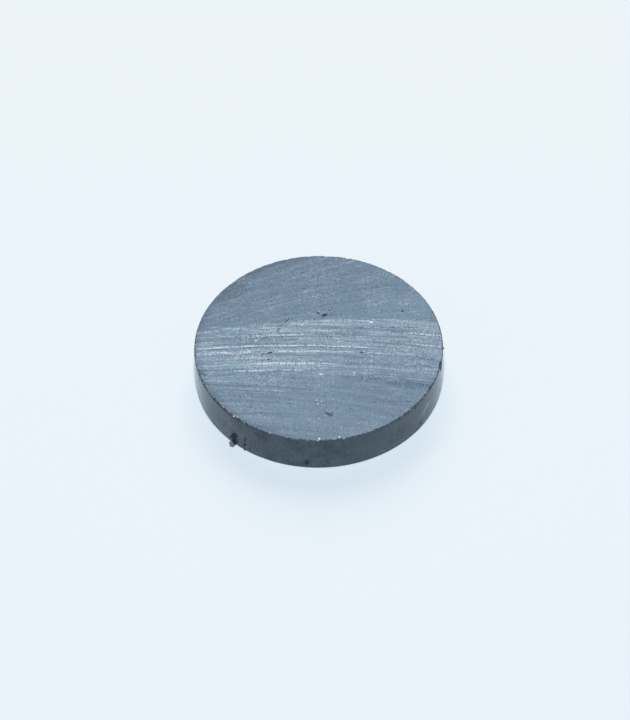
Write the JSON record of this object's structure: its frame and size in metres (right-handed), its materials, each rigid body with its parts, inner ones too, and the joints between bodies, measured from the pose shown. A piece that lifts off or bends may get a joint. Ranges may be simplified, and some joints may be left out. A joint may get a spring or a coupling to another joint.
{
  "type": "disc magnet",
  "caption": "Flat round ferrite magnet, one solid disc with two ground pole faces, a plain pressed wall and slightly worn rims.",
  "frame": {"origin": "centre of the lower pole face, which the disc lies on", "axes": "+Z is the disc's axis and its magnetic axis, up through the upper pole face; +X and +Y lie in the lower face"},
  "size_m": [0.018, 0.018, 0.003],
  "materials": {
    "ferrite": "satin"
  },
  "bodies": {
    "root": {"ferrite_disc": "ferrite"}
  },
  "joints": []
}
